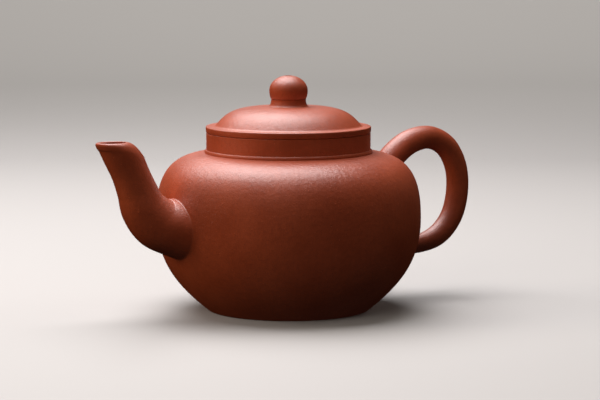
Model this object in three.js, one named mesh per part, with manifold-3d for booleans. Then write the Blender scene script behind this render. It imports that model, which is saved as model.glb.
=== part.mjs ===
// A round-bellied Yixing clay teapot with a flat-rimmed domed lid, made from the clay
// pieces that a potter shapes separately and joins with slip.
// Millimetres, +Z up. The origin is on the table, under the middle of the pot. The spout
// points along -X and the handle along +X.
import * as THREE from 'three';
import Module from 'manifold-3d';
import { mergeVertices } from 'three/addons/utils/BufferGeometryUtils.js';

const wasm = await Module();
wasm.setup();

// Driving dimensions of the pot
const BASE_RADIUS = 27.5;
const BELLY_RADIUS = 45;
const BELLY_HEIGHT = 31.3;
const SHOULDER_RADIUS = 28;
const SHOULDER_HEIGHT = 53.4;
const WALL = 2.8;
const FOOT_HOLLOW_RADIUS = 21;
const FOOT_HOLLOW_DEPTH = 1;
const BORE_RADIUS = 24.9;
const NECK_HEIGHT = 6.8;
const BEAD_HEIGHT = 1.1;

// Driving dimensions of the spout, its strainer and the handle
const SPOUT_ROOT_HEIGHT = 29.6;
const SPOUT_MOUTH_HEIGHT = 60;
const STRAINER_RADIUS = 8;
const STRAINER_WALL = 1.4;
const STRAINER_HOLE_RADIUS = 0.9;

// Driving dimensions of the lid; its heights are measured from its seat on the neck
const SEAT_GAP = 0.1;
const RIM_RADIUS = 28.05;
const RIM_THICKNESS = 2.1;
const FLANGE_OUTER = 24.5;
const FLANGE_INNER = 21.9;
const FLANGE_DEPTH = 9;
const CROWN_HEIGHT = 8.75;
const CROWN_RADIUS = 5.8;
const LID_WALL = 2.7;
const COLLAR_HEIGHT = 2.35;
const KNOB_RADIUS = 6.5;
const KNOB_HEIGHT = 8.1;
const VENT_RADIUS = 1;

// Facets, and the gap that a slip joint keeps between two cut pieces
const ROUND_FACETS = 36;
const SMALL_FACETS = 24;
const STRAINER_FACETS = 16;
const SLIP_GAP = 0.3;

const LID_SEAT = SHOULDER_HEIGHT + NECK_HEIGHT + SEAT_GAP;
const KNOB_BASE = CROWN_HEIGHT + COLLAR_HEIGHT;

// ---------------------------------------------------------------- helpers

function clay(color) {
  return new THREE.MeshStandardMaterial({ color, roughness: 0.55, metalness: 0 });
}

// One closed skin: shared vertices are merged and the collapsed triangles on an axis dropped.
function welded(geometry) {
  geometry.deleteAttribute('normal');
  geometry.deleteAttribute('uv');
  const merged = mergeVertices(geometry);
  const corners = merged.index.array;
  const kept = [];
  for (let i = 0; i < corners.length; i += 3) {
    const [a, b, c] = corners.slice(i, i + 3);
    if (a !== b && b !== c && c !== a) kept.push(a, b, c);
  }
  merged.setIndex(kept);
  return merged;
}

// A solid turned about +Z. The [radius, height] outline runs up the outside and down the
// inside; a ring's outline closes on itself, a disc's starts and ends on the axis.
function turned(outline, facets = ROUND_FACETS) {
  const points = outline.map(([radius, height]) => new THREE.Vector2(radius, height));
  const isRing = outline[0][0] > 0;
  if (isRing) points.push(points[0].clone());
  const geometry = new THREE.LatheGeometry(points, facets);
  geometry.rotateX(Math.PI / 2);
  return welded(geometry);
}

// A closed tube in the plane y = 0, from its section at each place along it. A section has its
// centre, the direction of its width in that plane, and its two half-widths.
function taperedTube(sectionAt, sides, steps) {
  const tube = new THREE.CylinderGeometry(1, 1, 1, sides, steps);
  const place = tube.attributes.position;
  for (let i = 0; i < place.count; i += 1) {
    const along = THREE.MathUtils.clamp(place.getY(i) + 0.5, 0, 1);
    const section = sectionAt(along);
    const reach = section.half * place.getX(i);
    const x = section.centre.x + section.direction.x * reach;
    const z = section.centre.y + section.direction.y * reach;
    place.setXYZ(i, x, section.across * place.getZ(i), z);
  }
  return welded(tube);
}

// Sections that run smoothly through stations of [x, z, half-width, half-width across, level].
// At level 0 a section is square to the tube, and at level 1 it is horizontal.
function sectionsThrough(stations) {
  const route = new THREE.SplineCurve(stations.map(([x, z]) => new THREE.Vector2(x, z)));
  const run = (pick) => {
    const curve = new THREE.SplineCurve(stations.map((s, i) => new THREE.Vector2(i, pick(s))));
    return (along) => curve.getPoint(along).y;
  };
  const half = run((station) => station[2]);
  const across = run((station) => station[3] ?? station[2]);
  const level = run((station) => station[4] ?? 0);
  const outward = new THREE.Vector2(-1, 0);
  return (along) => {
    const heading = route.getTangent(along);
    const direction = new THREE.Vector2(-heading.y, heading.x);
    direction.lerp(outward, level(along)).normalize();
    return { centre: route.getPoint(along), direction, half: half(along), across: across(along) };
  };
}

// The same sections, made larger all round.
function grown(sectionAt, amount) {
  return (along) => {
    const section = sectionAt(along);
    return { ...section, half: section.half + amount, across: section.across + amount };
  };
}

function toSolid(geometry) {
  return new wasm.Manifold(new wasm.Mesh({
    numProp: 3,
    vertProperties: new Float32Array(geometry.attributes.position.array),
    triVerts: new Uint32Array(geometry.index.array),
  }));
}

function toGeometry(solid) {
  const mesh = solid.getMesh();
  const geometry = new THREE.BufferGeometry();
  geometry.setAttribute('position', new THREE.BufferAttribute(mesh.vertProperties, 3));
  geometry.setIndex(new THREE.BufferAttribute(mesh.triVerts, 1));
  return geometry;
}

function named(name, geometry, material) {
  const mesh = new THREE.Mesh(geometry, material);
  mesh.name = name;
  return mesh;
}

// ---------------------------------------------------------------- the pot's outline

const lowerBelly = new THREE.CubicBezierCurve(
  new THREE.Vector2(BASE_RADIUS, 0),
  new THREE.Vector2(39, 9.1),
  new THREE.Vector2(BELLY_RADIUS, 17.4),
  new THREE.Vector2(BELLY_RADIUS, BELLY_HEIGHT),
);
const upperBelly = new THREE.CubicBezierCurve(
  new THREE.Vector2(BELLY_RADIUS, BELLY_HEIGHT),
  new THREE.Vector2(BELLY_RADIUS, 44.3),
  new THREE.Vector2(41.6, 52.7),
  new THREE.Vector2(SHOULDER_RADIUS, SHOULDER_HEIGHT),
);

// Where the wall's slip joints with the base disc and the shoulder disc lie along each curve.
const BASE_JOINT = 0.14;
const SHOULDER_JOINT = 0.66;

// Points from one place to another on a belly curve, moved inward by a depth.
function bellyRun(curve, from, to, steps, depth) {
  const run = [];
  for (let i = 0; i <= steps; i += 1) {
    const along = from + (to - from) * (i / steps);
    const point = curve.getPoint(along);
    const heading = curve.getTangent(along);
    run.push([point.x - heading.y * depth, point.y + heading.x * depth]);
  }
  return run;
}

function wallRun(depth, lowerSteps = 5, upperSteps = 6) {
  const lower = bellyRun(lowerBelly, BASE_JOINT, 1, lowerSteps, depth);
  const upper = bellyRun(upperBelly, 0, SHOULDER_JOINT, upperSteps, depth);
  return [...lower, ...upper.slice(1)];
}

// The belly's outer shape as one solid block, grown by a gap, for cutting what is joined to it.
function bellyBlock(gap) {
  const lower = bellyRun(lowerBelly, 0, 1, 8, -gap);
  const upper = bellyRun(upperBelly, 0, 1, 9, -gap);
  const outline = [...lower, ...upper.slice(1)];
  const bottom = outline[0][1];
  const top = outline.at(-1)[1];
  return toSolid(turned([[0, bottom], ...outline, [0, top]], 2 * ROUND_FACETS));
}
const bellyWithGap = bellyBlock(SLIP_GAP);

// ---------------------------------------------------------------- the pot's clay pieces

// The slab that closes the bottom, pressed slightly hollow so that it stands on a ring.
function baseDisc() {
  const floorHeight = FOOT_HOLLOW_DEPTH + WALL;
  const outside = bellyRun(lowerBelly, 0, BASE_JOINT, 2, 0);
  const inside = bellyRun(lowerBelly, BASE_JOINT, BASE_JOINT, 1, WALL)[0];
  return turned([
    [0, FOOT_HOLLOW_DEPTH],
    [FOOT_HOLLOW_RADIUS - 2, FOOT_HOLLOW_DEPTH],
    [FOOT_HOLLOW_RADIUS, 0],
    ...outside,
    inside,
    [FOOT_HOLLOW_RADIUS + 2, floorHeight],
    [0, floorHeight],
  ]);
}

// The beaten wall strip, with the round opening that holds the strainer.
function bodyWall() {
  const inside = wallRun(WALL).reverse();
  const wall = toSolid(turned([...wallRun(0), ...inside]));
  const drillLength = 20;
  const drill = new THREE.CylinderGeometry(
    STRAINER_RADIUS + SLIP_GAP, STRAINER_RADIUS + SLIP_GAP, drillLength, SMALL_FACETS);
  drill.rotateZ(Math.PI / 2);
  drill.translate(-BELLY_RADIUS, 0, SPOUT_ROOT_HEIGHT);
  return toGeometry(wall.subtract(toSolid(welded(drill))));
}

// The slab that closes the top, cut through where the neck stands.
function shoulderDisc() {
  const outside = bellyRun(upperBelly, SHOULDER_JOINT, 1, 4, 0);
  const inside = bellyRun(upperBelly, 0.95, SHOULDER_JOINT, 3, WALL);
  return turned([
    ...outside,
    [BORE_RADIUS, SHOULDER_HEIGHT],
    [BORE_RADIUS, SHOULDER_HEIGHT - WALL],
    ...inside,
  ]);
}

function neckRing() {
  const top = SHOULDER_HEIGHT + NECK_HEIGHT;
  return turned([
    [SHOULDER_RADIUS, SHOULDER_HEIGHT],
    [SHOULDER_RADIUS, SHOULDER_HEIGHT + BEAD_HEIGHT],
    [SHOULDER_RADIUS - 0.15, SHOULDER_HEIGHT + BEAD_HEIGHT],
    [SHOULDER_RADIUS - 0.25, top - 0.8],
    [SHOULDER_RADIUS - 0.5, top - 0.2],
    [SHOULDER_RADIUS - 0.9, top],
    [BORE_RADIUS + 0.3, top],
    [BORE_RADIUS, top - 0.3],
    [BORE_RADIUS, SHOULDER_HEIGHT],
  ]);
}

// The fine thread of clay round the foot of the neck.
function neckBead() {
  return turned([
    [SHOULDER_RADIUS, SHOULDER_HEIGHT],
    [SHOULDER_RADIUS + 0.45, SHOULDER_HEIGHT],
    [SHOULDER_RADIUS + 0.5, SHOULDER_HEIGHT + 0.5],
    [SHOULDER_RADIUS + 0.3, SHOULDER_HEIGHT + BEAD_HEIGHT - 0.1],
    [SHOULDER_RADIUS, SHOULDER_HEIGHT + BEAD_HEIGHT],
  ]);
}

// ---------------------------------------------------------------- spout and strainer

// Stations from inside the belly's outline up to the level mouth.
const SPOUT_STATIONS = [
  [-38.6, 29.4, 10.8, 12.2, 0],
  [-45, 30.7, 9.5, 10.9, 0],
  [-51, 33, 8.7, 9.3, 0],
  [-55.6, 37.8, 7.7, 7.8, 0],
  [-58.2, 43.9, 6.65, 6.65, 0],
  [-61, 50.5, 6.2, 6.2, 0.2],
  [-63.8, 56, 6.95, 6.1, 1],
  [-65.4, 58.1, 6.75, 5.9, 1],
  [-67, SPOUT_MOUTH_HEIGHT, 5.9, 5.2, 1],
];
const SPOUT_WALLS = [2.8, 2.7, 2.5, 2.3, 2.1, 2, 2, 2, 2];
const spoutSections = sectionsThrough(SPOUT_STATIONS);

// The bore follows the spout and runs on above its mouth.
const boreStations = SPOUT_STATIONS.map(([x, z, half, across, level], i) => (
  [x, z, half - SPOUT_WALLS[i], across - SPOUT_WALLS[i], level]
));
const [mouthX, mouthZ, ...mouthSize] = boreStations.at(-1);
boreStations.push([mouthX - 0.8, mouthZ + 1, ...mouthSize]);
const SPOUT_SIDES = 18;
const SPOUT_STEPS = 20;

function spout() {
  const outside = toSolid(taperedTube(spoutSections, SPOUT_SIDES, SPOUT_STEPS));
  const bore = toSolid(taperedTube(sectionsThrough(boreStations), SPOUT_SIDES, SPOUT_STEPS));
  return toGeometry(outside.subtract(bore).subtract(bellyWithGap));
}

// The ball strainer set in the wall behind the spout, bulging into the pot.
function strainer() {
  const quarterTurn = Math.PI / 2;
  const arc = (radius, steps) => {
    const points = [];
    for (let i = 0; i <= steps; i += 1) {
      const angle = quarterTurn * (i / steps);
      points.push([radius * Math.cos(angle), radius * Math.sin(angle)]);
    }
    points[steps][0] = 0;
    return points;
  };
  const rimLength = 1.2;
  const innerRadius = STRAINER_RADIUS - STRAINER_WALL;
  const outline = [
    ...arc(innerRadius, 5).reverse(),
    [innerRadius, -rimLength],
    [STRAINER_RADIUS, -rimLength],
    ...arc(STRAINER_RADIUS, 5),
  ];
  let bowl = toSolid(turned(outline, STRAINER_FACETS));
  for (const [tilt, count] of [[0, 1], [30, 6], [60, 12]]) {
    for (let i = 0; i < count; i += 1) {
      const drill = new THREE.CylinderGeometry(
        STRAINER_HOLE_RADIUS, STRAINER_HOLE_RADIUS, 4 * STRAINER_WALL, 6);
      drill.rotateX(quarterTurn);
      drill.translate(0, 0, STRAINER_RADIUS - STRAINER_WALL / 2);
      drill.rotateX(THREE.MathUtils.degToRad(tilt));
      drill.rotateZ((2 * Math.PI * i) / count);
      bowl = bowl.subtract(toSolid(welded(drill)));
    }
  }
  const geometry = toGeometry(bowl);
  geometry.rotateY(quarterTurn);
  geometry.translate(-BELLY_RADIUS + WALL - 0.2, 0, SPOUT_ROOT_HEIGHT);
  return geometry;
}

// ---------------------------------------------------------------- handle

// Stations of [x, z, radius] from the shoulder, over the top and down to the belly.
const HANDLE_STATIONS = [
  [37.8, 43.8, 4.6], [42.9, 50, 4.5], [50, 54.5, 4.3], [58.3, 55.6, 4], [65.5, 52, 4],
  [69.8, 44.6, 3.95], [70.45, 35.7, 3.95], [67.9, 26.9, 3.9], [61.7, 20.6, 3.7],
  [52.4, 18, 3.15], [43, 18.75, 2.95],
];
const handleSections = sectionsThrough(HANDLE_STATIONS);
const lowerEndSections = sectionsThrough(HANDLE_STATIONS.toReversed());
const HANDLE_SIDES = 16;
const HANDLE_STEPS = 28;

function handle() {
  const rod = toSolid(taperedTube(handleSections, HANDLE_SIDES, HANDLE_STEPS));
  return toGeometry(rod.subtract(bellyWithGap));
}

// ---------------------------------------------------------------- slip round the joined roots

// A ring of slip on a tube's root: it spreads at the belly and thins out along the tube.
function slipRing(sectionAt, sides, from, to, spread) {
  const thin = SLIP_GAP + 0.25;
  const steps = 4;
  const placeOn = (along) => from + (to - from) * along;
  const outside = (along) => {
    return grown(sectionAt, thin + spread * (1 - along) ** 2)(placeOn(along));
  };
  const ring = toSolid(taperedTube(outside, sides, steps));
  const core = toSolid(taperedTube(grown(sectionAt, SLIP_GAP), sides, HANDLE_STEPS));
  return toGeometry(ring.subtract(core).subtract(bellyWithGap));
}

// ---------------------------------------------------------------- the lid's clay pieces

function lidRim() {
  return turned([
    [FLANGE_INNER, 0],
    [RIM_RADIUS - 0.45, 0],
    [RIM_RADIUS - 0.15, 0.25],
    [RIM_RADIUS, 0.8],
    [RIM_RADIUS, RIM_THICKNESS - 0.4],
    [RIM_RADIUS - 0.3, RIM_THICKNESS],
    [FLANGE_INNER, RIM_THICKNESS],
  ]);
}

function lidDome() {
  const outside = new THREE.CubicBezierCurve(
    new THREE.Vector2(24.3, RIM_THICKNESS + 0.65),
    new THREE.Vector2(21, 6.65),
    new THREE.Vector2(18, CROWN_HEIGHT),
    new THREE.Vector2(CROWN_RADIUS, CROWN_HEIGHT),
  );
  const inside = new THREE.CubicBezierCurve(
    new THREE.Vector2(CROWN_RADIUS, CROWN_HEIGHT - LID_WALL),
    new THREE.Vector2(14.5, CROWN_HEIGHT - LID_WALL),
    new THREE.Vector2(19, 4.4),
    new THREE.Vector2(FLANGE_INNER, RIM_THICKNESS),
  );
  const asPairs = (curve, steps) => curve.getPoints(steps).map((point) => [point.x, point.y]);
  return turned([
    [24.9, RIM_THICKNESS],
    ...asPairs(outside, 7),
    [VENT_RADIUS, CROWN_HEIGHT],
    [VENT_RADIUS, CROWN_HEIGHT - LID_WALL],
    ...asPairs(inside, 5),
  ]);
}

// The ring under the lid that keeps it centred in the neck.
function lidFlange() {
  return turned([
    [FLANGE_INNER, -FLANGE_DEPTH],
    [FLANGE_OUTER - 0.5, -FLANGE_DEPTH],
    [FLANGE_OUTER, -FLANGE_DEPTH + 0.7],
    [FLANGE_OUTER, 0],
    [FLANGE_INNER, 0],
  ]);
}

function knobCollar() {
  return turned([
    [VENT_RADIUS, CROWN_HEIGHT],
    [6.15, CROWN_HEIGHT],
    [5.95, CROWN_HEIGHT + COLLAR_HEIGHT / 2],
    [5.8, KNOB_BASE],
    [VENT_RADIUS, KNOB_BASE],
  ], SMALL_FACETS);
}

// The knob is widest at three eighths of its height, and the vent runs up through it.
function knob() {
  const waist = 0.37 * KNOB_HEIGHT;
  const below = 6.9;
  const above = KNOB_HEIGHT - waist;
  const steps = 9;
  const outline = [];
  const radiusAt = (height) => {
    const reach = (height - waist) / (height < waist ? below : above);
    return KNOB_RADIUS * Math.sqrt(Math.max(0, 1 - reach * reach));
  };
  for (let i = 0; i < steps; i += 1) {
    const height = KNOB_HEIGHT * Math.sin((Math.PI / 2) * (i / steps));
    outline.push([radiusAt(height), KNOB_BASE + height]);
  }
  return turned([
    ...outline,
    [VENT_RADIUS, KNOB_BASE + KNOB_HEIGHT],
    [VENT_RADIUS, KNOB_BASE],
  ], SMALL_FACETS);
}

// ---------------------------------------------------------------- assembly

const CLAY = 0xa4523a;
const CLAY_LIT = 0xb0604a;
const CLAY_SHADED = 0x8c4430;

const pot = new THREE.Group();
pot.add(
  named('base_disc', baseDisc(), clay(CLAY_SHADED)),
  named('body_wall', bodyWall(), clay(CLAY)),
  named('shoulder_disc', shoulderDisc(), clay(CLAY_LIT)),
  named('neck_ring', neckRing(), clay(CLAY)),
  named('neck_bead', neckBead(), clay(CLAY_LIT)),
  named('spout', spout(), clay(CLAY)),
  named('spout_strainer', strainer(), clay(CLAY_SHADED)),
  named('handle', handle(), clay(CLAY)),
  named('spout_slip', slipRing(spoutSections, SPOUT_SIDES, 0.08, 0.17, 1.1), clay(CLAY_LIT)),
  named('handle_upper_slip', slipRing(handleSections, HANDLE_SIDES, 0.04, 0.11, 0.8),
    clay(CLAY_LIT)),
  named('handle_lower_slip', slipRing(lowerEndSections, HANDLE_SIDES, 0, 0.045, 0.8),
    clay(CLAY_LIT)),
);

const lid = new THREE.Group();
lid.position.z = LID_SEAT;
lid.add(
  named('lid_rim', lidRim(), clay(CLAY)),
  named('lid_dome', lidDome(), clay(CLAY_LIT)),
  named('lid_flange', lidFlange(), clay(CLAY_SHADED)),
  named('knob_collar', knobCollar(), clay(CLAY_LIT)),
  named('knob', knob(), clay(CLAY)),
);

const teapot = new THREE.Group();
teapot.add(pot, lid);

export default teapot;
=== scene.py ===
"""A round-bellied Yixing clay teapot in fired, burnished red clay.

Every clay piece of the CAD frame is rebuilt here as a fine surface in the same place: turned
pieces from rounded outlines, the spout and the handle as swept skins, and the slip at their roots
as blends that run tangent into both neighbours. Lengths are in metres, and MM is a millimetre.
"""

import math

import bmesh
import bpy
import numpy as np
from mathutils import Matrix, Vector, noise


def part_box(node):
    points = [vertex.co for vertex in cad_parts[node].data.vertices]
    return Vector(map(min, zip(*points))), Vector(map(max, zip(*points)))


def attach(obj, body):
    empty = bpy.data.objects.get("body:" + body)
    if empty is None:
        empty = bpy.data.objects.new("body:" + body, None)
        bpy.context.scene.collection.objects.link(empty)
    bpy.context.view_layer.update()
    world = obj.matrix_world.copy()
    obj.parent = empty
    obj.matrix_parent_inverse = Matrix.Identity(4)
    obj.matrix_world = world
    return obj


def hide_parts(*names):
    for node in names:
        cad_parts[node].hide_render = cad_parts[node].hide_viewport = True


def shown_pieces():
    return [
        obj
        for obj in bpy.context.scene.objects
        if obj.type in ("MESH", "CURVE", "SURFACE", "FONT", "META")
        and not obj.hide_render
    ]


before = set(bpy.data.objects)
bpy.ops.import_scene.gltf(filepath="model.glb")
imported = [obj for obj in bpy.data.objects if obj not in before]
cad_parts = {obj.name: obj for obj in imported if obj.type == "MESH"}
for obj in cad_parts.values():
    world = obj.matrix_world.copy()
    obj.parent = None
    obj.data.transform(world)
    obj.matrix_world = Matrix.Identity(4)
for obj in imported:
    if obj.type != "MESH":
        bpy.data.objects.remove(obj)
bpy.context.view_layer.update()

MM = 0.001
TURN_STEPS = 240
KNOB_STEPS = 160
SEAM_STEP = 0.004
CURVE_NUDGE = 1e-4
MERGE_DISTANCE = 1e-7
SHARP_ANGLE = math.radians(38)

# Places taken from the frame
BELLY_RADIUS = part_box("body_wall")[1].y
SHOULDER_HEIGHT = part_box("shoulder_disc")[1].z
SHOULDER_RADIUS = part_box("neck_ring")[1].y
NECK_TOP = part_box("neck_ring")[1].z
BEAD_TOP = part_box("neck_bead")[1].z
BEAD_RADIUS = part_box("neck_bead")[1].y
SPOUT_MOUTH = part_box("spout")[1].z
LID_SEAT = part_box("lid_rim")[0].z
RIM_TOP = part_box("lid_rim")[1].z
RIM_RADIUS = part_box("lid_rim")[1].y
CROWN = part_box("lid_dome")[1].z
FLANGE_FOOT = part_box("lid_flange")[0].z
FLANGE_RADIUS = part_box("lid_flange")[1].y
KNOB_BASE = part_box("knob")[0].z
KNOB_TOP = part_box("knob")[1].z
STRAINER_LOW, STRAINER_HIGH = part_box("spout_strainer")

# The design's own dimensions that no box gives
BASE_RADIUS = 27.5 * MM
BELLY_HEIGHT = 31.3 * MM
WALL = 2.8 * MM
FOOT_HOLLOW_RADIUS = 21 * MM
FOOT_HOLLOW_DEPTH = 1 * MM
BORE_RADIUS = 24.9 * MM
FLANGE_INNER = 21.9 * MM
DOME_FOOT_RADIUS = 24.3 * MM
LID_WALL = 2.7 * MM
KNOB_RADIUS = 6.5 * MM
VENT_RADIUS = 1 * MM
STRAINER_WALL = 1.4 * MM
STRAINER_HOLE = 0.9 * MM
STRAINER_GAP = 0.3 * MM
SEAT_CLEARANCE = 0.08 * MM

# Where the slabs of the belly meet, as shares of the lower and of the upper curve
BASE_JOINT = 0.14
SHOULDER_JOINT = 0.66


# ---------------------------------------------------------------- outlines

def bezier(points, along):
    """Places on a cubic Bezier curve of four [radius, height] points."""
    t = np.asarray(along, float)[:, None]
    a, b, c, d = (np.array(point, float) for point in points)
    return (1 - t) ** 3 * a + 3 * (1 - t) ** 2 * t * b + 3 * (1 - t) * t ** 2 * c + t ** 3 * d


LOWER_BELLY = (
    (BASE_RADIUS, 0),
    (39 * MM, 9.1 * MM),
    (BELLY_RADIUS, 17.4 * MM),
    (BELLY_RADIUS, BELLY_HEIGHT),
)
UPPER_BELLY = (
    (BELLY_RADIUS, BELLY_HEIGHT),
    (BELLY_RADIUS, 44.3 * MM),
    (41.6 * MM, 52.7 * MM),
    (SHOULDER_RADIUS, SHOULDER_HEIGHT),
)


def belly_run(curve, start, end, steps, depth=0.0):
    """An outline along a belly curve, moved inward by a depth. Its first and last steps are
    short, so that the shading runs on smoothly into the next piece."""
    share = np.concatenate([[0, SEAM_STEP], np.linspace(0, 1, steps + 1)[1:-1], [1 - SEAM_STEP, 1]])
    along = start + (end - start) * share
    points = bezier(curve, along)
    ahead = bezier(curve, along + CURVE_NUDGE) - bezier(curve, along - CURVE_NUDGE)
    ahead /= np.linalg.norm(ahead, axis=1)[:, None]
    inward = np.stack([-ahead[:, 1], ahead[:, 0]], 1)
    return [tuple(point) for point in points + inward * depth]


def rounded(corners, steps=6):
    """A closed outline of (radius, height, rounding) corners, each rounded off by a curve."""
    outline = []
    count = len(corners)
    for i, corner in enumerate(corners):
        here = np.array(corner[:2])
        rounding = corner[2] if len(corner) > 2 else 0
        if not rounding:
            outline.append(tuple(here))
            continue
        before = np.array(corners[i - 1][:2]) - here
        after = np.array(corners[(i + 1) % count][:2]) - here
        start = here + before / np.linalg.norm(before) * min(rounding, np.linalg.norm(before) * 0.49)
        end = here + after / np.linalg.norm(after) * min(rounding, np.linalg.norm(after) * 0.49)
        for k in range(steps + 1):
            t = k / steps
            outline.append(tuple((1 - t) ** 2 * start + 2 * t * (1 - t) * here + t ** 2 * end))
    return outline


# ---------------------------------------------------------------- the hand of the potter

HAND_WAVE = 16 * MM
HAND_DEPTH = 0.09 * MM
HAND_RISE = 0.3
HAND_FADE_HEIGHT = 6 * MM
HAND_SEED = 56
noise.seed_set(HAND_SEED)


def hand_worked(vertices):
    """Moves vertices by a smooth field of less than a tenth of a millimetre, the same for every
    piece, so that highlights waver as they do on beaten clay and joints still meet. It fades out
    towards the foot, which stays flat."""
    scale = 1 / HAND_WAVE
    moved = []
    for vertex in vertices:
        place = Vector(vertex)
        field = noise.noise_vector(place * scale)
        fade = min(1.0, max(0.0, place.z / HAND_FADE_HEIGHT))
        moved.append(place + Vector((field.x, field.y, HAND_RISE * field.z)) * HAND_DEPTH * fade)
    return moved


# ---------------------------------------------------------------- meshes

def clay_piece(name, node, body, vertices, faces, worked=True):
    """A named clay piece that stands for a CAD node and rides on its body."""
    mesh = bpy.data.meshes.new(name)
    places = hand_worked(vertices) if worked else [Vector(vertex) for vertex in vertices]
    mesh.from_pydata(places, [], faces)
    mesh.validate()
    tidy = bmesh.new()
    tidy.from_mesh(mesh)
    bmesh.ops.remove_doubles(tidy, verts=tidy.verts, dist=MERGE_DISTANCE)
    bmesh.ops.recalc_face_normals(tidy, faces=tidy.faces)
    tidy.to_mesh(mesh)
    tidy.free()
    mesh.shade_smooth()
    mesh.set_sharp_from_angle(angle=SHARP_ANGLE)
    piece = bpy.data.objects.new(name, mesh)
    bpy.context.scene.collection.objects.link(piece)
    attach(piece, body)
    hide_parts(node)
    return piece


def grid_faces(rows, columns, wrap_rows):
    """Quads over a grid of vertices whose columns always close on themselves."""
    faces = []
    for row in range(rows if wrap_rows else rows - 1):
        following = (row + 1) % rows
        for column in range(columns):
            beside = (column + 1) % columns
            faces.append((
                row * columns + column, row * columns + beside,
                following * columns + beside, following * columns + column,
            ))
    return faces


def turned(name, node, body, outline, steps=TURN_STEPS):
    """A piece turned about the pot's axis. An outline whose ends lie on the axis makes a disc,
    and any other closes on itself and makes a ring."""
    angles = np.linspace(0, 2 * math.pi, steps, endpoint=False)
    is_disc = outline[0][0] == 0
    ring = outline[1:-1] if is_disc else outline
    vertices = [
        (radius * math.cos(angle), radius * math.sin(angle), height)
        for radius, height in ring for angle in angles
    ]
    faces = grid_faces(len(ring), steps, wrap_rows=not is_disc)
    if is_disc:
        for end, first in ((outline[0], 0), (outline[-1], (len(ring) - 1) * steps)):
            vertices.append((0, 0, end[1]))
            centre = len(vertices) - 1
            faces += [(first + i, first + (i + 1) % steps, centre) for i in range(steps)]
    return clay_piece(name, node, body, vertices, faces)


# ---------------------------------------------------------------- swept tubes

def through(values, along):
    """A smooth run through evenly spaced stations."""
    values = np.asarray(values, float)
    place = np.clip(np.asarray(along, float), 0, 1) * (len(values) - 1)
    first = np.minimum(place.astype(int), len(values) - 2)
    t = place - first
    a = values[np.maximum(first - 1, 0)]
    b = values[first]
    c = values[first + 1]
    d = values[np.minimum(first + 2, len(values) - 1)]
    slope_b = (c - a) / 2
    slope_c = (d - b) / 2
    cubic = (2 * b - 2 * c + slope_b + slope_c) * t ** 3
    square = (3 * c - 3 * b - 2 * slope_b - slope_c) * t ** 2
    return cubic + square + slope_b * t + b


def tube_surface(stations):
    """The skin of a tube in the plane y = 0 through stations of x, z, half-width in the plane,
    half-width across and level. It returns a function of (along, angle, thinner)."""
    columns = np.array(stations, float).T
    columns[:4] *= MM

    def skin(along, angle, thinner=0.0):
        along, angle = np.broadcast_arrays(np.asarray(along, float), np.asarray(angle, float))
        x, z, half, across, level = (through(column, along) for column in columns)
        low = np.clip(along - CURVE_NUDGE, 0, 1)
        high = np.clip(along + CURVE_NUDGE, 0, 1)
        heading = np.stack([through(columns[k], high) - through(columns[k], low) for k in (0, 1)])
        heading /= np.linalg.norm(heading, axis=0)
        aim_x = -heading[1] * (1 - level) - level
        aim_z = heading[0] * (1 - level)
        length = np.hypot(aim_x, aim_z)
        reach = (half - thinner) * np.cos(angle)
        side = (across - thinner) * np.sin(angle)
        return np.stack([x + aim_x / length * reach, side, z + aim_z / length * reach], -1)

    return skin


# The belly's outline as a close row of places, with the outward direction at each
BELLY_SHARES = np.linspace(0, 1, 900)
BELLY_ROW = np.concatenate([
    bezier(LOWER_BELLY, BELLY_SHARES),
    bezier(UPPER_BELLY, BELLY_SHARES)[1:],
])
BELLY_AHEAD = np.gradient(BELLY_ROW, axis=0)
BELLY_AHEAD /= np.linalg.norm(BELLY_AHEAD, axis=1)[:, None]
BELLY_OUTWARD = np.stack([BELLY_AHEAD[:, 1], -BELLY_AHEAD[:, 0]], 1)


def nearest_on_belly(places):
    """For places near the belly: the nearest place on it, its outward direction, and how far
    outside the belly each place lies."""
    radius = np.hypot(places[:, 0], places[:, 1])
    flat = np.stack([radius, places[:, 2]], 1)
    nearest = np.argmin(((flat[:, None, :] - BELLY_ROW[None]) ** 2).sum(2), axis=1)
    outward = BELLY_OUTWARD[nearest]
    outside = ((flat - BELLY_ROW[nearest]) * outward).sum(1)
    foot = flat - outward * outside[:, None]
    turn = places[:, :2] / radius[:, None]
    on_belly = np.concatenate([turn * foot[:, :1], foot[:, 1:]], 1)
    direction = np.concatenate([turn * outward[:, :1], outward[:, 1:]], 1)
    return on_belly, direction, outside


def meet_belly(skin, angles, low, high, depth, halvings=30):
    """How far along a tube each line of its skin lies a given depth inside the belly, found by
    halving the stretch from low, inside the belly, to high, outside it."""
    low = np.full(len(angles), low, float)
    high = np.full(len(angles), high, float)
    for _ in range(halvings):
        middle = (low + high) / 2
        outside = nearest_on_belly(skin(middle, angles))[2]
        is_inside = outside < -depth
        low = np.where(is_inside, middle, low)
        high = np.where(is_inside, high, middle)
    return (low + high) / 2


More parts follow.
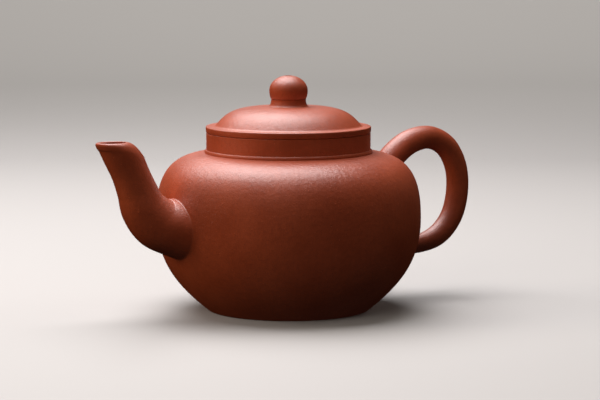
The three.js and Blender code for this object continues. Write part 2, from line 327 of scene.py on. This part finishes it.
def slip_blend(name, node, skin, low, high, width, ring_steps=160, curve_steps=12):
    """Slip in the corner between a tube and the belly. Its outside leaves both surfaces
    tangentially, and its back is sunk just under them."""
    nudge = 1e-3
    probe = 0.4 * MM
    sunk = 0.35 * MM
    angles = np.linspace(0, 2 * math.pi, ring_steps, endpoint=False)
    corner_along = meet_belly(skin, angles, low, high, 0)
    corner = skin(corner_along, angles)
    step = nudge * np.sign(high - low)
    uphill = skin(corner_along + step, angles) - corner
    speed = np.linalg.norm(uphill, axis=1) / abs(step)
    on_tube = skin(corner_along + np.sign(step) * width / speed, angles)
    inward = skin(corner_along, angles, probe) - corner
    inward /= np.linalg.norm(inward, axis=1)[:, None]
    outward = nearest_on_belly(corner)[1]
    away = -inward + outward * (inward * outward).sum(1)[:, None]
    away /= np.linalg.norm(away, axis=1)[:, None]
    on_belly = nearest_on_belly(corner + away * width)[0]
    rows = []
    for k in range(curve_steps + 1):
        t = k / curve_steps
        rows.append((1 - t) ** 2 * on_tube + 2 * t * (1 - t) * corner + t ** 2 * on_belly)
    rows.append(on_belly - nearest_on_belly(on_belly)[1] * sunk)
    rows.append(corner + (inward - outward) * sunk)
    rows.append(on_tube + inward * sunk)
    vertices = np.concatenate(rows)
    faces = grid_faces(len(rows), ring_steps, wrap_rows=True)
    clay_piece(name, node, "pot", vertices, faces)


# ---------------------------------------------------------------- the pot's pieces

def make_base():
    """The slab that closes the bottom, pressed hollow inside a flat standing ring."""
    floor_height = FOOT_HOLLOW_DEPTH + WALL
    ring_radius = BASE_RADIUS - 1 * MM
    edge_places = 4
    outside = belly_run(LOWER_BELLY, 0, BASE_JOINT, 14)
    inside = belly_run(LOWER_BELLY, BASE_JOINT, BASE_JOINT + 1e-6, 1, WALL)[0]
    hollow = rounded([
        (0, FOOT_HOLLOW_DEPTH),
        (FOOT_HOLLOW_RADIUS - 2 * MM, FOOT_HOLLOW_DEPTH, 1.2 * MM),
        (FOOT_HOLLOW_RADIUS, 0, 0.8 * MM),
        (ring_radius, 0),
    ])
    # The rounded edge takes the place of the first few places of the belly's curve
    edge = rounded([(ring_radius, 0), (BASE_RADIUS, 0, 0.5 * MM), outside[edge_places]])[1:-1]
    floor = rounded([
        inside,
        (FOOT_HOLLOW_RADIUS + 4 * MM, floor_height, 3 * MM),
        (0, floor_height),
    ])
    outline = [*hollow, *edge, *outside[edge_places:], *floor]
    turned("base_disc_clay", "base_disc", "pot", outline)


def belly_wall(steps, depth=0.0):
    """An outline up the belly wall, from the base's joint to the shoulder's."""
    lower = belly_run(LOWER_BELLY, BASE_JOINT, 1, steps, depth)
    upper = belly_run(UPPER_BELLY, 0, SHOULDER_JOINT, steps, depth)
    return lower + upper[1:]


def make_wall():
    """The belly, pierced for the strainer behind the spout."""
    outline = belly_wall(40) + belly_wall(24, WALL)[::-1]
    wall = turned("body_wall_clay", "body_wall", "pot", outline)
    centre = (-BELLY_RADIUS, 0, (STRAINER_LOW.z + STRAINER_HIGH.z) / 2)
    radius = (STRAINER_HIGH.z - STRAINER_LOW.z) / 2 + STRAINER_GAP
    cut(wall, [drill_tool(centre, (1, 0, 0), radius, 20 * MM, 64)])


def make_shoulder():
    """The slab that closes the top, open under the neck."""
    inside_end = 0.95
    outside = belly_run(UPPER_BELLY, SHOULDER_JOINT, 1, 30)
    inside = belly_run(UPPER_BELLY, inside_end, SHOULDER_JOINT, 16, WALL)
    outline = rounded([
        *outside,
        (BORE_RADIUS, SHOULDER_HEIGHT),
        (BORE_RADIUS, SHOULDER_HEIGHT - WALL, 0.7 * MM),
        *inside,
    ])
    turned("shoulder_disc_clay", "shoulder_disc", "pot", outline)


def make_neck():
    """The upright neck, which steps in a little over the bead and eases at its lips."""
    outline = rounded([
        (SHOULDER_RADIUS, SHOULDER_HEIGHT),
        (SHOULDER_RADIUS, BEAD_TOP),
        (SHOULDER_RADIUS - 0.18 * MM, BEAD_TOP, 0.1 * MM),
        (SHOULDER_RADIUS - 0.12 * MM, NECK_TOP, 0.3 * MM),
        (BORE_RADIUS, NECK_TOP, 0.5 * MM),
        (BORE_RADIUS, SHOULDER_HEIGHT),
    ])
    turned("neck_ring_clay", "neck_ring", "pot", outline)


def make_bead():
    """The fine thread of clay round the neck's foot, its inner side sunk into the neck."""
    sunk_radius = SHOULDER_RADIUS - 0.1 * MM
    outline = rounded([
        (sunk_radius, SHOULDER_HEIGHT - 0.1 * MM),
        (BEAD_RADIUS - 0.1 * MM, SHOULDER_HEIGHT - 0.05 * MM),
        (BEAD_RADIUS, SHOULDER_HEIGHT + 0.35 * MM, 0.25 * MM),
        (BEAD_RADIUS - 0.25 * MM, BEAD_TOP - 0.1 * MM, 0.3 * MM),
        (sunk_radius, BEAD_TOP),
    ])
    turned("neck_bead_clay", "neck_bead", "pot", outline)


# Stations of x, z, half-width in the plane, half-width across and level, in millimetres. Level
# is 0 where a section stands square to the tube and 1 where it lies flat, as at the mouth.
SPOUT_STATIONS = [
    [-38.6, 29.4, 10.8, 12.2, 0],
    [-45, 30.7, 9.5, 10.9, 0],
    [-51, 33, 8.7, 9.3, 0],
    [-55.6, 37.8, 7.7, 7.8, 0],
    [-58.2, 43.9, 6.65, 6.65, 0],
    [-61, 50.5, 6.2, 6.2, 0.2],
    [-63.8, 56, 6.95, 6.1, 1],
    [-65.4, 58.1, 6.75, 5.9, 1],
    [-67, SPOUT_MOUTH / MM, 5.9, 5.2, 1],
]
# The spout's wall at each of those stations
SPOUT_WALLS = [2.8, 2.7, 2.5, 2.3, 2.1, 2, 2, 2, 2]
# Stations of x, z and radius, in millimetres
HANDLE_STATIONS = [
    [37.8, 43.8, 4.6],
    [42.9, 50, 4.5],
    [50, 54.5, 4.3],
    [58.3, 55.6, 4],
    [65.5, 52, 4],
    [69.8, 44.6, 3.95],
    [70.45, 35.7, 3.95],
    [67.9, 26.9, 3.9],
    [61.7, 20.6, 3.7],
    [52.4, 18, 3.15],
    [43, 18.75, 2.95],
]
HANDLE_SECTIONS = [[x, z, radius, radius, 0] for x, z, radius in HANDLE_STATIONS]
spout_skin = tube_surface(SPOUT_STATIONS)
bore_skin = tube_surface([
    [x, z, half - wall, across - wall, level]
    for (x, z, half, across, level), wall in zip(SPOUT_STATIONS, SPOUT_WALLS)
])
handle_skin = tube_surface(HANDLE_SECTIONS)
ROOT_DEPTH = 1.2 * MM

# The stretch of each tube, as shares of its length, that its root lies in
SPOUT_ROOT = (0, 0.4)
UPPER_ROOT = (0, 0.25)
LOWER_ROOT = (1, 0.85)
SPOUT_SLIP_WIDTH = 0.5 * MM
HANDLE_SLIP_WIDTH = 0.7 * MM


def make_spout():
    """The spout's skin from its root to the rounded lip, over the lip and back down its bore."""
    steps = 128
    outside_rows, lip_rows, inner_lip_rows, bore_rows = 150, 13, 9, 100
    angles = np.linspace(0, 2 * math.pi, steps, endpoint=False)
    root = meet_belly(spout_skin, angles, *SPOUT_ROOT, ROOT_DEPTH)
    bore_root = meet_belly(bore_skin, angles, *SPOUT_ROOT, ROOT_DEPTH)
    # How fast the spout rises at its mouth, in metres for the whole run of along
    rise_per_along = (len(SPOUT_STATIONS) - 1) * (SPOUT_MOUTH - SPOUT_STATIONS[-2][1] * MM)
    lip_width = 1 * MM
    outer_drop = 1.2 * MM / rise_per_along
    inner_drop = 1.7 * MM / rise_per_along
    rows = []
    for t in np.linspace(0, 1, outside_rows):
        rows.append(spout_skin(root + (1 - outer_drop - root) * t, angles))
    for turn in np.linspace(0, math.pi / 2, lip_rows)[1:]:
        along = 1 - outer_drop * (1 - math.sin(turn))
        rows.append(spout_skin(np.full(steps, along), angles, lip_width * (1 - math.cos(turn))))
    for turn in np.linspace(math.pi / 2, 0, inner_lip_rows)[:-1]:
        along = 1 - inner_drop * (1 - math.sin(turn))
        rows.append(bore_skin(np.full(steps, along), angles, -lip_width * (1 - math.cos(turn))))
    for t in np.linspace(1, 0, bore_rows):
        rows.append(bore_skin(bore_root + (1 - inner_drop - bore_root) * t, angles))
    faces = grid_faces(len(rows), steps, wrap_rows=True)
    clay_piece("spout_clay", "spout", "pot", np.concatenate(rows), faces)


def make_handle():
    """The handle's skin between its two roots, closed inside the wall at both ends."""
    steps = 96
    rings = 320
    angles = np.linspace(0, 2 * math.pi, steps, endpoint=False)
    upper = meet_belly(handle_skin, angles, *UPPER_ROOT, ROOT_DEPTH)
    lower = meet_belly(handle_skin, angles, *LOWER_ROOT, ROOT_DEPTH)
    rows = [handle_skin(upper + (lower - upper) * t, angles) for t in np.linspace(0, 1, rings)]
    faces = grid_faces(rings, steps, wrap_rows=False)
    vertices = list(np.concatenate(rows))
    for row, first in ((rows[0], 0), (rows[-1], (rings - 1) * steps)):
        vertices.append(row.mean(0))
        centre = len(vertices) - 1
        faces += [(first + i, first + (i + 1) % steps, centre) for i in range(steps)]
    clay_piece("handle_clay", "handle", "pot", vertices, faces)


def drill_tool(centre, direction, radius, length, sides):
    """A round rod to cut with, centred on a place and lying along a direction."""
    mesh = bpy.data.meshes.new("drill")
    rod = bmesh.new()
    bmesh.ops.create_cone(
        rod, cap_ends=True, segments=sides, radius1=radius, radius2=radius, depth=length)
    rod.to_mesh(mesh)
    rod.free()
    tool = bpy.data.objects.new("drill", mesh)
    bpy.context.scene.collection.objects.link(tool)
    tool.rotation_mode = "QUATERNION"
    tool.rotation_quaternion = Vector((0, 0, 1)).rotation_difference(Vector(direction))
    tool.location = centre
    return tool


def cut(piece, tools):
    """Cuts tools out of a piece and removes them."""
    for tool in tools:
        modifier = piece.modifiers.new("cut", "BOOLEAN")
        modifier.operation = "DIFFERENCE"
        modifier.solver = "EXACT"
        modifier.object = tool
    bpy.context.view_layer.update()
    evaluated = piece.evaluated_get(bpy.context.evaluated_depsgraph_get())
    finished = bpy.data.meshes.new_from_object(evaluated)
    piece.modifiers.clear()
    piece.data = finished
    finished.set_sharp_from_angle(angle=SHARP_ANGLE)
    for tool in tools:
        bpy.data.objects.remove(tool)


# Rings of strainer holes: degrees from the ball's axis, and how many holes
STRAINER_RINGS = ((0, 1), (30, 6), (60, 12))


def make_strainer():
    """The ball strainer: a hollow half ball on a short rim, turned to bulge into the pot."""
    radius = (STRAINER_HIGH.z - STRAINER_LOW.z) / 2
    inner = radius - STRAINER_WALL
    rim = 1.2 * MM
    centre = Vector((STRAINER_HIGH.x - radius, 0, (STRAINER_LOW.z + STRAINER_HIGH.z) / 2))
    arc = [(math.cos(turn), math.sin(turn)) for turn in np.linspace(0, math.pi / 2, 20)]
    outside = [(radius * c, radius * s) for c, s in arc[:-1]] + [(0, radius)]
    inside = [(inner * c, inner * s) for c, s in arc[:-1]] + [(0, inner)]
    profile = [*inside[::-1], (inner, -rim), (radius, -rim), *outside]
    steps = 64
    ring = profile[1:-1]
    angles = np.linspace(0, 2 * math.pi, steps, endpoint=False)
    vertices = [
        centre + Vector((height, reach * math.cos(a), reach * math.sin(a)))
        for reach, height in ring for a in angles
    ]
    faces = grid_faces(len(ring), steps, wrap_rows=False)
    for end, first in ((profile[0], 0), (profile[-1], (len(ring) - 1) * steps)):
        vertices.append(centre + Vector((end[1], 0, 0)))
        tip = len(vertices) - 1
        faces += [(first + i, first + (i + 1) % steps, tip) for i in range(steps)]
    strainer = clay_piece(
        "spout_strainer_clay", "spout_strainer", "pot", vertices, faces, worked=False)
    drills = []
    for tilt, count in STRAINER_RINGS:
        for i in range(count):
            lean = math.radians(tilt)
            turn = 2 * math.pi * i / count
            aim = Vector((
                math.cos(lean), math.sin(lean) * math.sin(turn), -math.sin(lean) * math.cos(turn)))
            drills.append(drill_tool(
                centre + aim * (radius - STRAINER_WALL / 2), aim, STRAINER_HOLE, 4 * STRAINER_WALL, 20))
    cut(strainer, drills)


# ---------------------------------------------------------------- the lid's pieces

def make_rim():
    """The lid's flat plate, a little wider than the neck."""
    outline = rounded([
        (FLANGE_INNER, LID_SEAT),
        (RIM_RADIUS - 0.15 * MM, LID_SEAT, 0.35 * MM),
        (RIM_RADIUS, LID_SEAT + 1 * MM, 0.5 * MM),
        (RIM_RADIUS - 0.02 * MM, RIM_TOP - 0.05 * MM, 0.42 * MM),
        (DOME_FOOT_RADIUS + 0.2 * MM, RIM_TOP),
        (FLANGE_INNER, RIM_TOP),
    ])
    turned("lid_rim_clay", "lid_rim", "lid", outline)


def make_dome():
    """The dome rises from a small hollow corner on the rim plate to a flat crown."""
    crown_radius = 5.8 * MM
    foot_height = RIM_TOP + 0.65 * MM
    ceiling = CROWN - LID_WALL
    outside = bezier((
        (DOME_FOOT_RADIUS, foot_height),
        (21 * MM, LID_SEAT + 6.65 * MM),
        (18 * MM, CROWN),
        (crown_radius, CROWN),
    ), np.linspace(0, 1, 60))
    inside = bezier((
        (crown_radius, ceiling),
        (14.5 * MM, ceiling),
        (19 * MM, LID_SEAT + 4.4 * MM),
        (FLANGE_INNER, RIM_TOP),
    ), np.linspace(0, 1, 40))
    foot = bezier((
        (DOME_FOOT_RADIUS + 1.3 * MM, RIM_TOP - 0.02 * MM),
        (DOME_FOOT_RADIUS + 0.6 * MM, RIM_TOP),
        (DOME_FOOT_RADIUS + 0.25 * MM, RIM_TOP + 0.3 * MM),
        (DOME_FOOT_RADIUS, foot_height),
    ), np.linspace(0, 1, 9))
    outline = [
        *map(tuple, foot[:-1]),
        *map(tuple, outside),
        (VENT_RADIUS, CROWN),
        (VENT_RADIUS, ceiling),
        *map(tuple, inside[:-1]),
        (FLANGE_INNER, RIM_TOP),
        (FLANGE_INNER, RIM_TOP - 0.02 * MM),
    ]
    turned("lid_dome_clay", "lid_dome", "lid", outline)


def make_flange():
    """The ring that keeps the lid centred, which stops just short of the plate it hangs from."""
    top = LID_SEAT - SEAT_CLEARANCE
    outline = rounded([
        (FLANGE_INNER, FLANGE_FOOT, 0.5 * MM),
        (FLANGE_RADIUS - 0.1 * MM, FLANGE_FOOT, 0.7 * MM),
        (FLANGE_RADIUS, top),
        (FLANGE_INNER, top),
    ])
    turned("lid_flange_clay", "lid_flange", "lid_seat_ring", outline)


def make_collar():
    """The low collar between dome and knob, flared where it meets the crown."""
    low = CROWN - 0.1 * MM
    outline = rounded([
        (VENT_RADIUS, low),
        (6.75 * MM, low),
        (6.2 * MM, CROWN + 0.45 * MM, 0.5 * MM),
        (5.85 * MM, KNOB_BASE - 0.5 * MM, 0.6 * MM),
        (5.9 * MM, KNOB_BASE, 0.1 * MM),
        (VENT_RADIUS, KNOB_BASE),
    ])
    turned("knob_collar_clay", "knob_collar", "lid", outline, KNOB_STEPS)


def make_knob():
    """The knob: a flattened ball on the collar, with the vent's rim eased by a finger."""
    height = KNOB_TOP - KNOB_BASE
    waist = 0.37 * height
    below = 6.9 * MM
    above = height - waist
    top_share = 0.985
    outline = []
    for turn in np.linspace(-math.asin(waist / below), math.asin(top_share), 60):
        reach = math.sin(turn) * (below if turn < 0 else above)
        outline.append((KNOB_RADIUS * math.cos(turn), KNOB_BASE + waist + reach))
    outline = [
        (outline[0][0] - 0.25 * MM, KNOB_BASE),
        *outline[1:],
        (VENT_RADIUS + 0.12 * MM, KNOB_TOP - 0.08 * MM),
        (VENT_RADIUS, KNOB_TOP - 0.3 * MM),
        (VENT_RADIUS, KNOB_BASE),
    ]
    turned("knob_clay", "knob", "lid", outline, KNOB_STEPS)


make_base()
make_wall()
make_shoulder()
make_neck()
make_bead()
make_spout()
make_strainer()
make_handle()
slip_blend("spout_slip_clay", "spout_slip", spout_skin, *SPOUT_ROOT, SPOUT_SLIP_WIDTH)
slip_blend("handle_upper_slip_clay", "handle_upper_slip", handle_skin, *UPPER_ROOT, HANDLE_SLIP_WIDTH)
slip_blend("handle_lower_slip_clay", "handle_lower_slip", handle_skin, *LOWER_ROOT, HANDLE_SLIP_WIDTH)
make_rim()
make_dome()
make_flange()
make_collar()
make_knob()


# ---------------------------------------------------------------- fired red clay

class Nodes:
    """A short way to add and join shader nodes."""

    def __init__(self, tree):
        self.tree = tree

    def add(self, kind, inputs=(), **settings):
        node = self.tree.nodes.new(kind)
        for name, value in settings.items():
            setattr(node, name, value)
        for name, value in dict(inputs).items():
            if isinstance(value, bpy.types.NodeSocket):
                self.tree.links.new(value, node.inputs[name])
            else:
                node.inputs[name].default_value = value
        return node

    def math(self, operation, first, second=0.0):
        return self.add("ShaderNodeMath", {0: first, 1: second}, operation=operation).outputs[0]

    def weighted(self, *terms):
        """The sum of each value times its weight."""
        total = 0.0
        for value, weight in terms:
            total = self.math("ADD", total, self.math("MULTIPLY", value, weight))
        return total

    def centred(self, value):
        """A value that runs from 0 to 1, moved to run evenly either side of 0."""
        return self.math("SUBTRACT", value, 0.5)

    def noise(self, place, size, detail, roughness):
        return self.add("ShaderNodeTexNoise", {
            "Vector": place, "Scale": 1 / size, "Detail": detail, "Roughness": roughness,
        }).outputs["Fac"]

    def span(self, value, low, high, out_low, out_high):
        return self.add("ShaderNodeMapRange", {
            "Value": value, "From Min": low, "From Max": high, "To Min": out_low, "To Max": out_high,
        }).outputs["Result"]

    def blend(self, share, first, second):
        """One colour turned towards a second by a share."""
        return self.add("ShaderNodeMix", {0: share, 6: first, 7: second}, data_type="RGBA").outputs[2]

    def vector(self, operation, first, second=(0, 0, 0)):
        return self.add("ShaderNodeVectorMath", {0: first, 1: second}, operation=operation).outputs[0]

    def aside(self, place, amount):
        """The same coordinates moved aside, so that two sets of grains don't fall together."""
        return self.vector("ADD", place, (amount, amount, amount))

    def spots(self, place, size, share, radius):
        """Round grains in a share of the cells of a given size: 1 on a grain and 0 off it. Their
        radius is a share of the cell, down to half of that."""
        softness = 0.12
        cells = self.add("ShaderNodeTexVoronoi", {"Vector": place, "Scale": 1 / size})
        pick = self.add("ShaderNodeSeparateColor", {"Color": cells.outputs["Color"]})
        chosen = self.math("LESS_THAN", pick.outputs["Red"], share)
        reach = self.span(pick.outputs["Green"], 0, 1, 0.5 * radius, radius)
        near = self.math("SUBTRACT", reach, cells.outputs["Distance"])
        return self.math("MULTIPLY", chosen, self.span(near, 0, softness, 0, 1))


# The clay's colours, and the sizes of the marks in it
CLAY_DEEP = (0.36, 0.055, 0.014)
CLAY_WARM = (0.46, 0.078, 0.022)
CLAY_SHADED = tuple(channel * 0.72 for channel in CLAY_DEEP)
# The dark of iron specks, also used as painted shade inside the pores
CLAY_IRON_AND_PORE_SHADE = tuple(channel * 0.45 for channel in CLAY_DEEP)
CLAY_PALE = tuple(channel * 1.55 + 0.02 for channel in CLAY_WARM)
CLAY_ROUGHNESS = 0.455
CLAY_SPECULAR = 1.0
CLAY_IOR = 1.55
CLAY_RELIEF = 0.05 * MM
BURNISH = 0.35
CLOUD_SIZE = 18 * MM
MOTTLE_SIZE = 1.6 * MM
GRIT_SIZE = 0.34 * MM
LINE_SIZE = 0.55 * MM
STROKE_TURN = 0.03


def opaque(colour):
    return (*colour, 1)


def ring_lines(nodes, place):
    """Fine burnishing lines that run round the pot, from height and from distance to the axis."""
    stretch = 0.035
    slope = 0.61
    x, y, z = nodes.add("ShaderNodeSeparateXYZ", {0: place}).outputs
    squares = nodes.math("ADD", nodes.math("MULTIPLY", x, x), nodes.math("MULTIPLY", y, y))
    radius = nodes.math("SQRT", squares)
    rings = nodes.add("ShaderNodeCombineXYZ", {
        0: nodes.math("MULTIPLY", x, stretch),
        1: nodes.math("MULTIPLY", y, stretch),
        2: nodes.math("ADD", z, nodes.math("MULTIPLY", radius, slope)),
    })
    return nodes.noise(rings.outputs[0], LINE_SIZE, 3.0, 0.65)


def upright_strokes(nodes, place):
    """Fine strokes that run up the wall and out from the middle of the lid."""
    x, y, z = nodes.add("ShaderNodeSeparateXYZ", {0: place}).outputs
    flat = nodes.add("ShaderNodeCombineXYZ", {0: x, 1: y}).outputs[0]
    lift = nodes.add("ShaderNodeCombineXYZ", {2: z}).outputs[0]
    around = nodes.vector("NORMALIZE", flat)
    return nodes.noise(nodes.vector("ADD", around, lift), STROKE_TURN, 2.0, 0.6)


def clay_material(name):
    """Fired clay: cloudy colour, pale and iron-dark grains, pores darkened with painted shade, and
    burnishing marks.
    """
    material = bpy.data.materials.new(name)
    material.use_nodes = True
    tree = material.node_tree
    tree.nodes.clear()
    nodes = Nodes(tree)
    place = nodes.add("ShaderNodeTexCoord").outputs["Object"]

    clouds = nodes.noise(place, CLOUD_SIZE, 3.0, 0.55)
    mottle = nodes.noise(place, MOTTLE_SIZE, 3.0, 0.6)
    grit = nodes.noise(place, GRIT_SIZE, 2.0, 0.6)
    lines = ring_lines(nodes, place)
    strokes = upright_strokes(nodes, place)
    pale_grains = nodes.spots(place, size=0.8 * MM, share=0.07, radius=0.3)
    dark_grains = nodes.spots(nodes.aside(place, 0.37), size=1.1 * MM, share=0.05, radius=0.26)
    granules = nodes.spots(nodes.aside(place, 0.53), size=4 * MM, share=0.35, radius=0.1)
    pores = nodes.spots(nodes.aside(place, 0.71), size=2.3 * MM, share=0.1, radius=0.13)

    colour = nodes.blend(nodes.span(clouds, 0.3, 0.7, 0, 1), opaque(CLAY_DEEP), opaque(CLAY_WARM))
    fine_share = nodes.span(nodes.weighted((mottle, 0.5), (grit, 0.5)), 0.35, 0.65, 0, 0.5)
    colour = nodes.blend(fine_share, colour, opaque(CLAY_SHADED))
    for marks, share, tint in (
        (pale_grains, 0.55, CLAY_PALE),
        (dark_grains, 0.6, CLAY_IRON_AND_PORE_SHADE),
        # The pores are darkened towards the iron colour as painted shade in their pits
        (pores, 0.75, CLAY_IRON_AND_PORE_SHADE),
    ):
        colour = nodes.blend(nodes.math("MULTIPLY", marks, share), colour, opaque(tint))

    rough = nodes.math("ADD", CLAY_ROUGHNESS, nodes.weighted(
        (nodes.centred(clouds), 0.18),
        (nodes.centred(grit), 0.22),
        (nodes.centred(lines), 0.2 * BURNISH),
    ))
    height = nodes.weighted(
        (grit, 1.0),
        (mottle, 2.2),
        (lines, 1.1 * BURNISH),
        (strokes, 4.0 * BURNISH),
        (pale_grains, 0.5),
        (granules, 2.0),
        (pores, -2.8),
    )
    bump = nodes.add("ShaderNodeBump", {"Height": height, "Distance": CLAY_RELIEF, "Strength": 1.0})
    shader = nodes.add("ShaderNodeBsdfPrincipled", {
        "Base Color": colour,
        "Roughness": rough,
        "Normal": bump.outputs[0],
        "Specular IOR Level": CLAY_SPECULAR,
        "IOR": CLAY_IOR,
    })
    nodes.add("ShaderNodeOutputMaterial", {"Surface": shader.outputs[0]})
    return material


burnished = clay_material("burnished_clay")
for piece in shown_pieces():
    piece.data.materials.clear()
    piece.data.materials.append(burnished)


# ---------------------------------------------------------------- floor, light and camera

VIEW_TURN = math.radians(32)
VIEW_PITCH = math.radians(6.80)
VIEW_DISTANCE = 787.8 * MM
VIEW_HEIGHT = 131 * MM
VIEW_ASIDE = 3.9 * MM
VIEW_LENS = 140
VIEW_SENSOR = 36
POT_MIDDLE = (0, 0, 0.04)
FLOOR_COLOUR = (0.52, 0.505, 0.49)
FLOOR_ROUGHNESS = 0.6
WHITE_LIGHT = (1, 0.97, 0.98)
WARM_LIGHT = (1, 0.90, 0.80)
PALE_LIGHT = (1, 0.92, 0.85)
BACKDROP_LIGHT = (1, 0.97, 0.94)
ROOM_COLOUR = (1, 0.95, 0.90)
ROOM_STRENGTH = 0.05


def in_view(right, near, up):
    """A place in metres from the pot's foot, as the camera sees it: right, towards it, and up."""
    c, s = math.cos(VIEW_TURN), math.sin(VIEW_TURN)
    return Vector((right * c - near * s, -right * s - near * c, up))


def plain_material(name, colour, roughness):
    material = bpy.data.materials.new(name)
    material.use_nodes = True
    shader = material.node_tree.nodes["Principled BSDF"]
    shader.inputs["Base Color"].default_value = opaque(colour)
    shader.inputs["Roughness"].default_value = roughness
    return material


def make_floor():
    """A pale sheet that lies flat under the pot and curves up far behind it. It takes light and
    shadow but gives none back, so the pot's own shading stays deep."""
    half_width = 4.0
    near, bend, rise, wall = -2.0, 1.1, 1.2, 2.0
    turns = np.linspace(0, math.pi / 2, 24)
    arc = [(bend + rise * math.sin(turn), rise * (1 - math.cos(turn))) for turn in turns]
    run = [(near, 0), *arc, (bend + rise, rise + wall)]
    vertices = [(side * half_width, depth, height) for depth, height in run for side in (-1, 1)]
    faces = [(2 * i, 2 * i + 1, 2 * i + 3, 2 * i + 2) for i in range(len(run) - 1)]
    mesh = bpy.data.meshes.new("floor")
    mesh.from_pydata(vertices, [], faces)
    mesh.shade_smooth()
    mesh.materials.append(plain_material("pale_floor", FLOOR_COLOUR, FLOOR_ROUGHNESS))
    floor = bpy.data.objects.new("floor", mesh)
    bpy.context.scene.collection.objects.link(floor)
    floor.rotation_euler.z = -VIEW_TURN
    floor.visible_diffuse = False
    floor.visible_glossy = False


def make_camera():
    lens = bpy.data.cameras.new("camera")
    lens.lens = VIEW_LENS
    lens.sensor_width = VIEW_SENSOR
    camera = bpy.data.objects.new("camera", lens)
    bpy.context.scene.collection.objects.link(camera)
    camera.location = in_view(VIEW_ASIDE, VIEW_DISTANCE, VIEW_HEIGHT)
    camera.rotation_euler = (math.pi / 2 - VIEW_PITCH, 0, -VIEW_TURN)
    bpy.context.scene.camera = camera


def soft_light(name, place, size, power, colour, shows_in_gloss=False, target=POT_MIDDLE):
    """A soft box aimed at the pot's middle, or at another target."""
    light = bpy.data.lights.new(name, "AREA")
    light.shape = "RECTANGLE"
    light.size, light.size_y = size
    light.energy = power
    light.color = colour
    lamp = bpy.data.objects.new(name, light)
    bpy.context.scene.collection.objects.link(lamp)
    lamp.location = place
    lamp.visible_glossy = shows_in_gloss
    lamp.rotation_euler = (Vector(target) - Vector(place)).to_track_quat("-Z", "Y").to_euler()


def make_lights():
    """A soft box overhead and a little behind, three weak fills that don't show in the clay's
    gloss, a light for the backdrop alone, and a dim room."""
    soft_light(
        "overhead", in_view(-0.13, -0.18, 0.66), (0.62, 0.75), 9.1, WHITE_LIGHT, shows_in_gloss=True)
    soft_light("left", in_view(-0.75, 0.05, 0.32), (0.3, 0.5), 2.3, WARM_LIGHT)
    soft_light("front", in_view(-0.35, 0.75, 0.55), (0.6, 0.4), 2.1, WARM_LIGHT)
    soft_light("right", in_view(0.80, -0.35, 0.45), (0.4, 0.5), 1.0, PALE_LIGHT)
    soft_light(
        "backdrop", in_view(0, -0.75, 1.1), (2.0, 0.5), 24, BACKDROP_LIGHT,
        target=in_view(0, -2.3, 0.75))
    world = bpy.data.worlds.new("studio")
    world.use_nodes = True
    room = world.node_tree.nodes["Background"]
    room.inputs["Color"].default_value = opaque(ROOM_COLOUR)
    room.inputs["Strength"].default_value = ROOM_STRENGTH
    bpy.context.scene.world = world
    world.cycles_visibility.glossy = False
    bpy.context.scene.view_settings.view_transform = "Standard"


make_floor()
make_camera()
make_lights()
